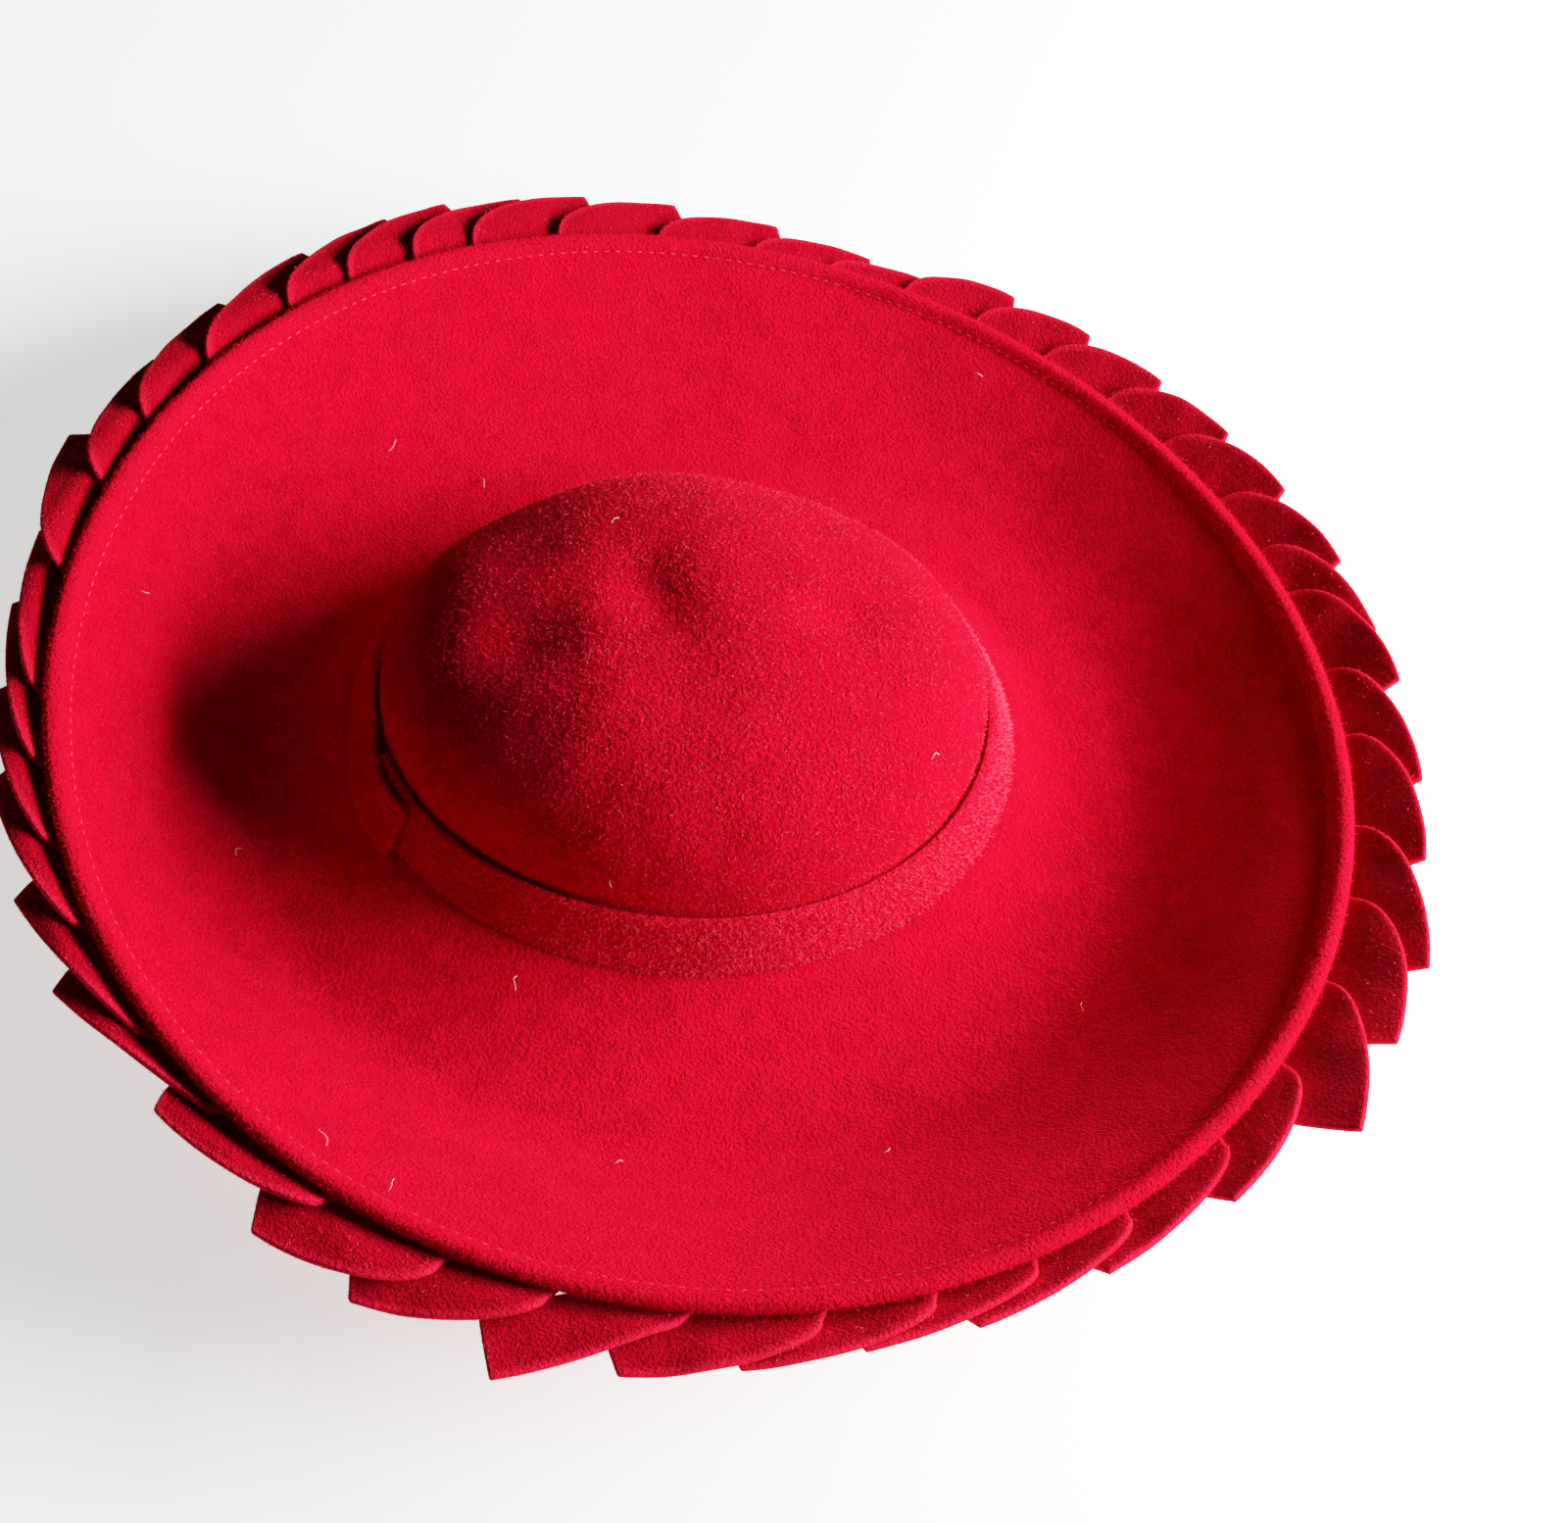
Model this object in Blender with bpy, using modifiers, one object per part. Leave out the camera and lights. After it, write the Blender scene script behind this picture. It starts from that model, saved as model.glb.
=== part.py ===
# Wide-brimmed felt hat: round crown, narrow band, dished brim with a
# hemmed edge, and a ring of felt leaves fixed under that edge.
# Metres, +Z up. The hat rests on a flat ring part way out along the brim,
# and the brim rises from that ring both to the head opening and to the rim.
# Right is +X and the near side is -Y. Turns are in degrees, 0 at +X,
# counter-clockwise seen from above.

import bpy
import bmesh
import numpy as np
from math import asin, cos, exp, pi, radians, sin
from mathutils import Vector

HAT_NAME = "wide_brimmed_felt_hat"

# felt thickness and the clearance between touching pieces
FELT = 0.0025
BAND_FELT = 0.0020
LEAF_FELT = 0.0020
GAP = 0.0003
LEAF_GAP = 0.0003

# centre of the crown, so that the whole hat is centred on the origin
CROWN_AT = Vector((-0.0111, 0.0064, 0.0))

# band: outside half widths at its upper and lower edge
BAND_TOP_X = 0.1010
BAND_TOP_Y = 0.0877
BAND_SPREAD = 0.0095
HEAD_RISE = 0.0075
BAND_WIDTH = 0.0175
BAND_FOOT = HEAD_RISE + FELT + GAP
BAND_TOP = BAND_FOOT + BAND_WIDTH
BAND_END_TURN = 220.0
BAND_LAP = 15.0
LAP_RISE_TURN = 10.0
LAP_LIFT = 1.15

# crown
CROWN_RISE = 0.0717
CROWN_TOP = BAND_FOOT + CROWN_RISE
CROWN_SIDE_POWER = 2.58
CROWN_TOP_POWER = 2.65
CROWN_LEAN_X = 0.0029
CROWN_LEAN_Y = -0.0162
BAND_TO_CROWN = 0.0027
CROWN_FOOT_SHARE = 0.8333
DENT_DEPTH = 0.0028
DENT_FADE = 0.15
DENT_AIM = 0.20

# brim: head opening, rim outline and rim height round the hat
OPENING_IN = 0.0068
RIM_X = 0.2075
RIM_Y = 0.2167
RIM_AT_X = 0.0091
RIM_AT_Y = -0.0069
RIM_SKEW = -0.0096
RIM_BOW = -0.0015
RIM_HEIGHT = 0.0458
RIM_TILT_X = -0.0100
RIM_TILT_Y = -0.0101
RIM_WAVE_COS = 0.0040
RIM_WAVE_SIN = -0.0041
SEAT_RUN = 0.0085
FOOT_RUN = 0.0080
FOOT_SHARE = 0.30
FOOT_SHARE_FRONT = 0.07
FALL_POWER = 1.5
BEND_RUN = 0.0240
HEM = 0.0050
HEM_RUN = 0.0080
HEM_FULL_SHARE = 0.72

# leaves
LEAF_RUN = 0.0500
LEAF_REACH = 0.0300
LEAF_DROP = 0.0040
LEAF_ROOT = 0.0140
LEAF_ROOT_START = 0.22
LEAF_ROOT_END = 0.26
LEAF_END = 0.0210
LEAF_END_PITCH = 68.0
FLARE_RUN = 0.0140
LEAF_SEAT = 0.16
LEAF_LEAD = 0.09
LEAF_BOW_POWER = 1.35
LEAF_TUCK_SHARE = 0.85

# mesh steps
STATIONS = 70
CROWN_STATIONS = 60
CROWN_ROWS = 12
LEAF_STEPS_LONG = 7
LEAF_STEPS_WIDE = 3
FLARE_STEPS = 6

# turn at which the first leaf leaves the rim, then the turns to the next
FIRST_LEAF = 35.0
LEAF_TURNS = (
    7.0, 5.5, 9.5, 7.5, 9.8, 7.9, 8.8, 10.0, 9.5, 10.5, 8.5, 8.5, 8.5, 9.5,
    10.5, 8.5, 10.0, 10.5, 8.5, 11.0, 8.0, 8.0, 7.0, 12.5, 10.5, 8.0, 9.0,
    10.5, 7.1, 7.4, 6.5, 9.0, 10.5, 10.0, 8.0, 8.0, 8.0, 8.0, 8.0, 7.5, 8.5,
)

# the leaves round the hat: shares of the run along the rim and of the reach
# past it, fullness of the outer edge, pitch past the rim, share of the drop
# columns: turn, run, reach, fullness, pitch in degrees, drop
LEAF_ROUND = (
    (-180.0, 1.02, 0.90, 0.55, -12.0, 1.20),
    (-168.0, 1.20, 0.57, 0.60, -10.0, 1.15),
    (-145.0, 1.12, 0.60, 0.60, -8.0, 1.10),
    (-125.0, 1.16, 0.60, 0.10, 0.0, 1.00),
    (-115.0, 1.00, 0.47, 1.00, 4.0, 0.95),
    (-105.0, 0.92, 0.70, 1.00, 5.0, 0.90),
    (-96.0, 0.94, 0.77, 0.65, 6.0, 0.85),
    (-86.0, 0.93, 0.97, 0.15, 8.0, 0.85),
    (-74.0, 1.04, 0.57, 0.95, 14.0, 0.80),
    (-60.0, 0.99, 0.43, 0.85, 16.0, 0.80),
    (-40.0, 1.01, 0.47, 1.00, 19.0, 0.80),
    (-31.0, 0.88, 0.60, 1.00, 19.0, 0.75),
    (-21.0, 0.82, 1.07, 0.50, 19.0, 0.75),
    (-12.0, 0.86, 0.93, 0.85, 19.0, 0.75),
    (-4.0, 0.90, 0.97, 0.70, 19.0, 0.75),
    (5.0, 0.88, 0.77, 1.00, 19.0, 0.75),
    (35.0, 0.76, 0.80, 1.00, 17.0, 0.75),
    (75.0, 0.68, 0.70, 1.00, 8.0, 0.80),
    (83.0, 0.76, 0.43, 1.00, 5.0, 0.85),
    (101.0, 0.80, 0.67, 1.00, 0.0, 0.90),
    (120.0, 0.84, 0.93, 1.00, -2.0, 0.95),
    (135.0, 0.88, 1.10, 0.70, -4.0, 1.00),
    (152.0, 1.10, 0.97, 0.55, -8.0, 1.10),
    (169.0, 1.02, 0.77, 0.90, -11.0, 1.18),
    (180.0, 1.02, 0.90, 0.55, -12.0, 1.20),
)

# dents pressed into the crown, as shares of its half widths and of the depth
# columns: centre x, centre y, half length, half width, slant in degrees, depth
DENTS = (
    (-0.12, 0.00, 0.33, 0.15, -71.0, 1.0),
    (0.53, 0.02, 0.14, 0.11, 30.0, 0.6),
    (-0.48, -0.29, 0.19, 0.14, 0.0, 0.5),
)

RED = (0.52, 0.002, 0.018, 1.0)


def ease(share):
    share = min(1.0, max(0.0, share))
    return share * share * (3.0 - 2.0 * share)


def round_table(turn, column):
    turn = (turn + 180.0) % 360.0 - 180.0
    turns = [row[0] for row in LEAF_ROUND]
    values = [row[column] for row in LEAF_ROUND]
    return float(np.interp(turn, turns, values))


def felt(name, roughness):
    material = bpy.data.materials.new(name)
    material.use_nodes = True
    shader = material.node_tree.nodes["Principled BSDF"]
    shader.inputs["Base Color"].default_value = RED
    shader.inputs["Roughness"].default_value = roughness
    material.diffuse_color = RED
    return material


def new_collection(name):
    collection = bpy.data.collections.new(name)
    bpy.context.scene.collection.children.link(collection)
    return collection


def sheet(columns, rows, place):
    """A grid whose corners are set by place(column share, row share)."""
    bm = bmesh.new()
    bmesh.ops.create_grid(bm, x_segments=round(columns), y_segments=round(rows), size=0.5)
    for vert in bm.verts:
        vert.co = place(vert.co.x + 0.5, vert.co.y + 0.5)
    bmesh.ops.remove_doubles(bm, verts=bm.verts, dist=0.00002)
    bmesh.ops.recalc_face_normals(bm, faces=bm.faces)
    return bm


def finish(bm, name, collection, roughness=0.9, thickness=0.0, offset=0.0):
    """Turns the sheet into a named object, thickened where asked."""
    mesh = bpy.data.meshes.new(name)
    bm.to_mesh(mesh)
    bm.free()
    piece = bpy.data.objects.new(name, mesh)
    collection.objects.link(piece)
    if thickness > 0.0:
        wall = piece.modifiers.new("wall", "SOLIDIFY")
        wall.thickness = thickness
        wall.offset = offset
        wall.use_even_offset = True
        graph = bpy.context.evaluated_depsgraph_get()
        solid = bpy.data.meshes.new_from_object(piece.evaluated_get(graph))
        piece.modifiers.clear()
        piece.data = solid
        bpy.data.meshes.remove(mesh)
        solid.name = name
    piece.data.materials.clear()
    piece.data.materials.append(felt(name + "_felt", roughness))
    return piece


def settle(piece, lowest):
    """Cuts the foot of a piece flat, moves it to its place and shades it."""
    for vert in piece.data.vertices:
        if lowest is not None and vert.co.z < lowest:
            vert.co.z = lowest
        vert.co += CROWN_AT
    for face in piece.data.polygons:
        face.use_smooth = True
    bm = bmesh.new()
    bm.from_mesh(piece.data)
    bmesh.ops.recalc_face_normals(bm, faces=bm.faces)
    bm.to_mesh(piece.data)
    bm.free()


# brim


def head_edge(turn):
    """Inner edge of the brim's middle surface."""
    half_x = BAND_TOP_X + BAND_SPREAD - OPENING_IN
    half_y = BAND_TOP_Y + BAND_SPREAD - OPENING_IN
    return Vector((half_x * cos(turn), half_y * sin(turn), HEAD_RISE + FELT / 2))


def rim_edge(turn):
    """Outermost line of the brim."""
    height = RIM_HEIGHT + RIM_TILT_X * cos(turn) + RIM_TILT_Y * sin(turn)
    height += RIM_WAVE_COS * cos(2 * turn) + RIM_WAVE_SIN * sin(2 * turn)
    x = RIM_AT_X + RIM_X * cos(turn)
    y = RIM_AT_Y + RIM_Y * sin(turn)
    y += RIM_SKEW * cos(turn) + RIM_BOW * cos(2 * turn)
    return Vector((x, y, height))


def brim_span(turn):
    return (rim_edge(turn).xy - head_edge(turn).xy).length


def brim_foot(turn):
    """Runs at which the ring that the hat rests on starts and ends."""
    share = FOOT_SHARE - FOOT_SHARE_FRONT * sin(turn)
    middle = brim_span(turn) * share
    return middle - FOOT_RUN / 2, middle + FOOT_RUN / 2


def climb(run):
    """Height gained past the foot where the steepest slope is 1."""
    share = min(1.0, max(0.0, run / BEND_RUN))
    bend = BEND_RUN * (share ** 3 - share ** 4 / 2)
    return bend + max(0.0, run - BEND_RUN)


def brim_middle(turn, run):
    """Point of the brim's middle surface, its outward and up directions."""
    start = head_edge(turn)
    end = rim_edge(turn)
    span = brim_span(turn)
    foot_start, foot_end = brim_foot(turn)
    out = ((end.xy - start.xy) / span).to_3d()
    fall_run = foot_start - SEAT_RUN
    left = 1.0 - min(1.0, max(0.0, (run - SEAT_RUN) / fall_run))
    steepest = (end.z - FELT / 2) / climb(span - foot_end)
    steepness = steepest * ease((run - foot_end) / BEND_RUN)
    if run > SEAT_RUN:
        steepness -= HEAD_RISE * FALL_POWER / fall_run * left ** (FALL_POWER - 1.0)
    point = start + out * run
    point.z = FELT / 2 + HEAD_RISE * left ** FALL_POWER + steepest * climb(run - foot_end)
    along = Vector((out.x, out.y, steepness)).normalized()
    up = Vector((0, 0, 1)) - along * along.z
    return point, along, up.normalized()


def brim_section(turn):
    """Closed outline of the brim's cut at this turn, head edge to rim."""
    span = brim_span(turn)
    foot_start, foot_end = brim_foot(turn)
    hem_start = span - HEM_RUN
    runs = [0.0, SEAT_RUN, 0.5 * (SEAT_RUN + foot_start), foot_start, foot_end]
    runs += [foot_end + 0.5 * BEND_RUN, foot_end + BEND_RUN, hem_start]
    cuts = [(run, FELT / 2) for run in runs] + [(span - HEM_FULL_SHARE * HEM_RUN, HEM / 2)]
    upper = []
    lower = []
    for run, half in cuts:
        point, along, up = brim_middle(turn, run)
        upper.append(point + up * half)
        lower.append(point - up * half)
    centre, along, up = brim_middle(turn, span - HEM / 2)
    end = []
    for angle in (90, 45, 0, -45, -90):
        reach = along * cos(radians(angle)) + up * sin(radians(angle))
        end.append(centre + reach * (HEM / 2))
    return upper + end + lower[::-1]


def make_brim(collection):
    count = len(brim_section(0.0))

    def place(around, across):
        outline = brim_section(around * 2 * pi)
        index = round(across * count) % count
        return outline[index]

    brim = finish(sheet(STATIONS, count, place), "brim", collection)
    settle(brim, 0.0)


# crown and band


def band_line(turn, height, inset):
    """Outside of the band at this height, moved in by the inset."""
    low = (BAND_TOP - height) / (BAND_TOP - BAND_FOOT)
    spread = BAND_SPREAD * low - inset
    x = (BAND_TOP_X + spread) * cos(turn)
    y = (BAND_TOP_Y + spread) * sin(turn)
    return Vector((x, y, height))


def crown_smooth(turn, share):
    """Outside of the crown before denting: 0 at the top, 1 at the foot."""
    if share > CROWN_FOOT_SHARE:
        low = (share - CROWN_FOOT_SHARE) / (1.0 - CROWN_FOOT_SHARE)
        height = BAND_TOP + (BAND_FOOT - BAND_TOP) * low
        return band_line(turn, height, BAND_TO_CROWN)
    bow = pi / 2 * (1.0 - share / CROWN_FOOT_SHARE)
    rise = sin(bow) ** (2 / CROWN_TOP_POWER)
    width = max(0.0, cos(bow)) ** (2 / CROWN_SIDE_POWER)
    point = band_line(turn, BAND_TOP, BAND_TO_CROWN)
    x = point.x * width + CROWN_LEAN_X * rise
    y = point.y * width + CROWN_LEAN_Y * rise
    z = BAND_TOP + (CROWN_TOP - BAND_TOP) * rise
    return Vector((x, y, z))


def dent_depth(point):
    depth = 0.0
    for x_share, y_share, half_long, half_wide, slant, deep in DENTS:
        x = point.x - x_share * BAND_TOP_X
        y = point.y - y_share * BAND_TOP_Y
        lean = radians(slant)
        long_way = (x * cos(lean) + y * sin(lean)) / (half_long * BAND_TOP_X)
        wide_way = (y * cos(lean) - x * sin(lean)) / (half_wide * BAND_TOP_X)
        depth += deep * DENT_DEPTH * exp(-long_way ** 2 - wide_way ** 2)
    return depth


def crown_point(turn, share):
    point = crown_smooth(turn, share)
    inward = Vector((0, 0, DENT_AIM * CROWN_TOP)) - point
    fade = ease((CROWN_FOOT_SHARE - share) / DENT_FADE)
    return point + inward.normalized() * dent_depth(point) * fade


def make_crown(collection):
    def place(around, down):
        return crown_point(around * 2 * pi, down)

    bm = sheet(CROWN_STATIONS, CROWN_ROWS, place)
    crown = finish(bm, "crown", collection, thickness=FELT, offset=-1.0)
    settle(crown, BAND_FOOT)


def make_band(collection):
    steps = STATIONS + round(BAND_LAP / 360 * STATIONS)

    def place(around, up):
        turned = around * steps * 360 / STATIONS
        lap = ease((turned - 360) / LAP_RISE_TURN + 1.0)
        height = BAND_FOOT + (BAND_TOP - BAND_FOOT) * up
        inset = -(BAND_FELT + GAP) * LAP_LIFT * lap
        turn = radians(BAND_END_TURN - BAND_LAP + turned)
        return band_line(turn, height, inset)

    bm = sheet(steps, 1, place)
    band = finish(bm, "band", collection, thickness=BAND_FELT, offset=-1.0)
    settle(band, BAND_FOOT)


# leaves


def leaf_sheet(turn, past):
    """Surface the leaves follow: under the brim, then out past the rim."""
    span = brim_span(turn)
    point, along, up = brim_middle(turn, span + min(past, 0.0))
    if past <= 0.0:
        return point
    out = (rim_edge(turn) - head_edge(turn)).xy.normalized().to_3d()
    start = asin(along.z)
    end = radians(round_table(turn * 180 / pi, 4))
    for part in range(FLARE_STEPS):
        gone = past * (part + 0.5) / FLARE_STEPS
        pitch = start + (end - start) * ease(gone / FLARE_RUN)
        step = out * cos(pitch) + Vector((0, 0, sin(pitch)))
        point = point + step * (past / FLARE_STEPS)
    return point


def leaf_outline(long_share, wide_share, run, reach, fullness):
    """Point of the flat leaf: distance along the rim and past it."""
    root_share = 1.0 / LEAF_STEPS_LONG
    lead = LEAF_LEAD * run * fullness
    if long_share < root_share - 0.001:
        outer = Vector((-LEAF_ROOT_START * run, -LEAF_TUCK_SHARE * LEAF_ROOT))
    else:
        share = max(0.0, long_share - root_share) / (1.0 - root_share)
        share = share ** LEAF_BOW_POWER
        bow = (1.0 - (1.0 - share) ** 2) ** 0.5
        past = reach * (fullness * bow + (1.0 - fullness) * share)
        outer = Vector((share * (run + lead) - lead, past))
    root = Vector((LEAF_ROOT_END * run, -LEAF_ROOT))
    slant = radians(LEAF_END_PITCH)
    end = Vector((run + LEAF_END * cos(slant), reach - LEAF_END * sin(slant)))
    inner = root.lerp(end, long_share)
    return inner.lerp(outer, wide_share)


def make_leaves(collection):
    starts = [FIRST_LEAF]
    for turn in LEAF_TURNS:
        starts.append(starts[-1] - turn * 360 / sum(LEAF_TURNS))
    count = len(LEAF_TURNS)
    turns = [value + 360 for value in starts[:-1]] + starts[:-1]
    turns += [value - 360 for value in starts]
    numbers = list(range(-count, 2 * count + 1))
    rim_radius = 0.5 * (RIM_X + RIM_Y)

    def turn_at(start, along):
        return start - along / rim_radius * 180 / pi

    def passed(turn):
        return float(np.interp(-turn, [-value for value in turns], numbers))

    for number in range(count):
        start = starts[number]
        run = LEAF_RUN * round_table(start, 1)
        reach = LEAF_REACH * round_table(start, 2)
        fullness = round_table(start, 3)
        seated = passed(turn_at(start, -LEAF_SEAT * run))

        def place(long_share, wide_share):
            flat = leaf_outline(long_share, wide_share, run, reach, fullness)
            turn = turn_at(start, flat.x)
            drop = LEAF_DROP * round_table(turn, 5) * (passed(turn) - seated)
            point, along, up = brim_middle(radians(turn), brim_span(radians(turn)))
            seat = (HEM / 2 + LEAF_GAP + LEAF_FELT / 2) / up.z
            place_at = leaf_sheet(radians(turn), flat.y)
            place_at.z -= seat + drop
            return place_at

        bm = sheet(LEAF_STEPS_LONG, LEAF_STEPS_WIDE, place)
        name = "leaf_%02d" % (number + 1)
        leaf = finish(bm, name, collection, thickness=LEAF_FELT)
        settle(leaf, None)


def build():
    for item in list(bpy.data.objects):
        bpy.data.objects.remove(item)
    collection = new_collection(HAT_NAME)
    make_brim(collection)
    make_crown(collection)
    make_band(collection)
    make_leaves(collection)


build()
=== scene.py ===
import bpy
import bmesh
import numpy as np
from math import cos, exp, pi, radians, sin
from mathutils import Matrix, Vector, noise


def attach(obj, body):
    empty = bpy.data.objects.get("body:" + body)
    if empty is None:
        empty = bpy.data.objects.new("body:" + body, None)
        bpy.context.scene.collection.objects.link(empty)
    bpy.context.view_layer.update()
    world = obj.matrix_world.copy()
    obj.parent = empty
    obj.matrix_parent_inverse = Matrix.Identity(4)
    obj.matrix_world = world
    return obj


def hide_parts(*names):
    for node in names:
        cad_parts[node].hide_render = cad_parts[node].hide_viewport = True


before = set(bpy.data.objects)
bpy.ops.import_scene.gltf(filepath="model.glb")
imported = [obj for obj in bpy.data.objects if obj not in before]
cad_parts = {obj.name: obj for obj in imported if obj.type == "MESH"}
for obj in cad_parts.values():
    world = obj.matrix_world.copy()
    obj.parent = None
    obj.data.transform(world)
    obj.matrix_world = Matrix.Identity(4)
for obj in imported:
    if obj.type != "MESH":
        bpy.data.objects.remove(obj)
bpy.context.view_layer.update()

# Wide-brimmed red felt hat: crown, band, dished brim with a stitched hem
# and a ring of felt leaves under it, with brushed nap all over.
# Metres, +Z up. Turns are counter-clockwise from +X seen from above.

# Sizes shared with the solids

FELT = 0.0025
BAND_FELT = 0.0020
LEAF_FELT = 0.0020
GAP = 0.0003
CROWN_AT = np.array((-0.0111, 0.0064, 0.0))

BAND_TOP_X = 0.1010
BAND_TOP_Y = 0.0877
BAND_SPREAD = 0.0095
HEAD_RISE = 0.0075
BAND_WIDTH = 0.0175
BAND_FOOT = HEAD_RISE + FELT + GAP
BAND_TOP = BAND_FOOT + BAND_WIDTH
BAND_END_TURN = 220.0
BAND_LAP = 15.0

CROWN_RISE = 0.0717
CROWN_TOP = BAND_FOOT + CROWN_RISE
CROWN_SIDE_POWER = 2.58
CROWN_TOP_POWER = 2.65
CROWN_LEAN = np.array((0.0029, -0.0162))
BAND_TO_CROWN = 0.0027
DENT_DEPTH = 0.0028
CROWN_FOOT_SHARE = 0.8333

OPENING_IN = 0.0068
RIM_X = 0.2075
RIM_Y = 0.2167
RIM_AT_X = 0.0091
RIM_AT_Y = -0.0069
RIM_SKEW = -0.0096
RIM_BOW = -0.0015
RIM_HEIGHT = 0.0458
RIM_TILT_X = -0.0100
RIM_TILT_Y = -0.0101
RIM_WAVE_COS = 0.0040
RIM_WAVE_SIN = -0.0041
SEAT_RUN = 0.0085
FOOT_RUN = 0.0080
FOOT_SHARE = 0.30
FOOT_SHARE_FRONT = 0.07
FALL_POWER = 1.5
BEND_RUN = 0.0240
HEM = 0.0050

LEAF_RUN = 0.0500
LEAF_REACH = 0.0300
LEAF_DROP = 0.0040
LEAF_ROOT = 0.0140
LEAF_ROOT_START = 0.22
LEAF_ROOT_END = 0.26
LEAF_END = 0.0210
LEAF_END_PITCH = 68.0
FLARE_RUN = 0.0140
LEAF_SEAT = 0.16

FIRST_LEAF = 35.0
LEAF_TURNS = (
    7.0, 5.5, 9.5, 7.5, 9.8, 7.9, 8.8, 10.0, 9.5, 10.5, 8.5, 8.5, 8.5, 9.5,
    10.5, 8.5, 10.0, 10.5, 8.5, 11.0, 8.0, 8.0, 7.0, 12.5, 10.5, 8.0, 9.0,
    10.5, 7.1, 7.4, 6.5, 9.0, 10.5, 10.0, 8.0, 8.0, 8.0, 8.0, 8.0, 7.5, 8.5,
)

# columns: turn, run, reach, fullness, pitch in degrees, drop
LEAF_ROUND = (
    (-180.0, 1.02, 0.90, 0.55, -12.0, 1.20),
    (-168.0, 1.20, 0.57, 0.60, -10.0, 1.15),
    (-145.0, 1.12, 0.60, 0.60, -8.0, 1.10),
    (-125.0, 1.16, 0.60, 0.10, 0.0, 1.00),
    (-115.0, 1.00, 0.47, 1.00, 4.0, 0.95),
    (-105.0, 0.92, 0.70, 1.00, 5.0, 0.90),
    (-96.0, 0.94, 0.77, 0.65, 6.0, 0.85),
    (-86.0, 0.93, 0.97, 0.15, 8.0, 0.85),
    (-74.0, 1.04, 0.57, 0.95, 14.0, 0.80),
    (-60.0, 0.99, 0.43, 0.85, 16.0, 0.80),
    (-40.0, 1.01, 0.47, 1.00, 19.0, 0.80),
    (-31.0, 0.88, 0.60, 1.00, 19.0, 0.75),
    (-21.0, 0.82, 1.07, 0.50, 19.0, 0.75),
    (-12.0, 0.86, 0.93, 0.85, 19.0, 0.75),
    (-4.0, 0.90, 0.97, 0.70, 19.0, 0.75),
    (5.0, 0.88, 0.77, 1.00, 19.0, 0.75),
    (35.0, 0.76, 0.80, 1.00, 17.0, 0.75),
    (75.0, 0.68, 0.70, 1.00, 8.0, 0.80),
    (83.0, 0.76, 0.43, 1.00, 5.0, 0.85),
    (101.0, 0.80, 0.67, 1.00, 0.0, 0.90),
    (120.0, 0.84, 0.93, 1.00, -2.0, 0.95),
    (135.0, 0.88, 1.10, 0.70, -4.0, 1.00),
    (152.0, 1.10, 0.97, 0.55, -8.0, 1.10),
    (169.0, 1.02, 0.77, 0.90, -11.0, 1.18),
    (180.0, 1.02, 0.90, 0.55, -12.0, 1.20),
)

# columns: centre x, centre y, half length, half width, slant in degrees, depth
DENTS = (
    (-0.12, 0.00, 0.33, 0.15, -71.0, 1.0),
    (0.53, 0.02, 0.14, 0.11, 30.0, 1.0),
    (-0.48, -0.29, 0.19, 0.14, 0.0, 0.9),
    (-0.55, 0.06, 0.50, 0.26, 90.0, 1.2),
    (0.50, 0.00, 0.55, 0.28, 90.0, 0.8),
)


# Small helpers

# how far each seed moves the noise, and what brings it to about -1 to 1
SEED_STEP = (7.31, 3.17, 5.53)
NOISE_REACH = 1.6
SAME_POINT = 0.00001


def ease(share):
    """Smooth step from 0 to 1, level at both ends."""
    share = np.clip(share, 0.0, 1.0)
    return share * share * (3.0 - 2.0 * share)


def round_table(turn, column):
    """A column of the leaf table read at turns in degrees."""
    turn = (np.asarray(turn) + 180.0) % 360.0 - 180.0
    turns = [row[0] for row in LEAF_ROUND]
    return np.interp(turn, turns, [row[column] for row in LEAF_ROUND])


def stack(x, y, z):
    """Three coordinates as points along a new last axis."""
    return np.stack(np.broadcast_arrays(x, y, z), axis=-1)


def unit(vectors):
    """Vectors brought to length 1."""
    return vectors / np.linalg.norm(vectors, axis=-1, keepdims=True)


def soft_noise(points, size, seed):
    """Smooth noise from -1 to 1 with lumps about as wide as the size."""
    shift = Vector([seed * step for step in SEED_STEP])
    flat = points.reshape(-1, 3) / size
    values = [noise.noise(Vector(point) + shift) for point in flat]
    return np.array(values).reshape(points.shape[:-1]) * NOISE_REACH


def soft_waves(points, rows):
    """Soft noises added up. Columns of rows: height, size of the lumps, seed."""
    return sum(height * soft_noise(points, size, seed) for height, size, seed in rows)


def linear(hex_colour):
    """sRGB hex to the linear colour that shaders use."""
    parts = [int(hex_colour[i:i + 2], 16) / 255 for i in (1, 3, 5)]
    values = [c / 12.92 if c <= 0.04045 else ((c + 0.055) / 1.055) ** 2.4 for c in parts]
    return (*values, 1.0)


def add_node(tree, kind, settings=None, values=None, links=None):
    """Adds a node, sets its properties and input values, and links its inputs."""
    node = tree.nodes.new(kind)
    for key, value in (settings or {}).items():
        setattr(node, key, value)
    for key, value in (values or {}).items():
        node.inputs[key].default_value = value
    for key, source in (links or {}).items():
        tree.links.new(source, node.inputs[key])
    return node


def mesh_object(name, mesh):
    """A new object for the mesh, in the scene."""
    piece = bpy.data.objects.new(name, mesh)
    bpy.context.scene.collection.objects.link(piece)
    return piece


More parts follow.
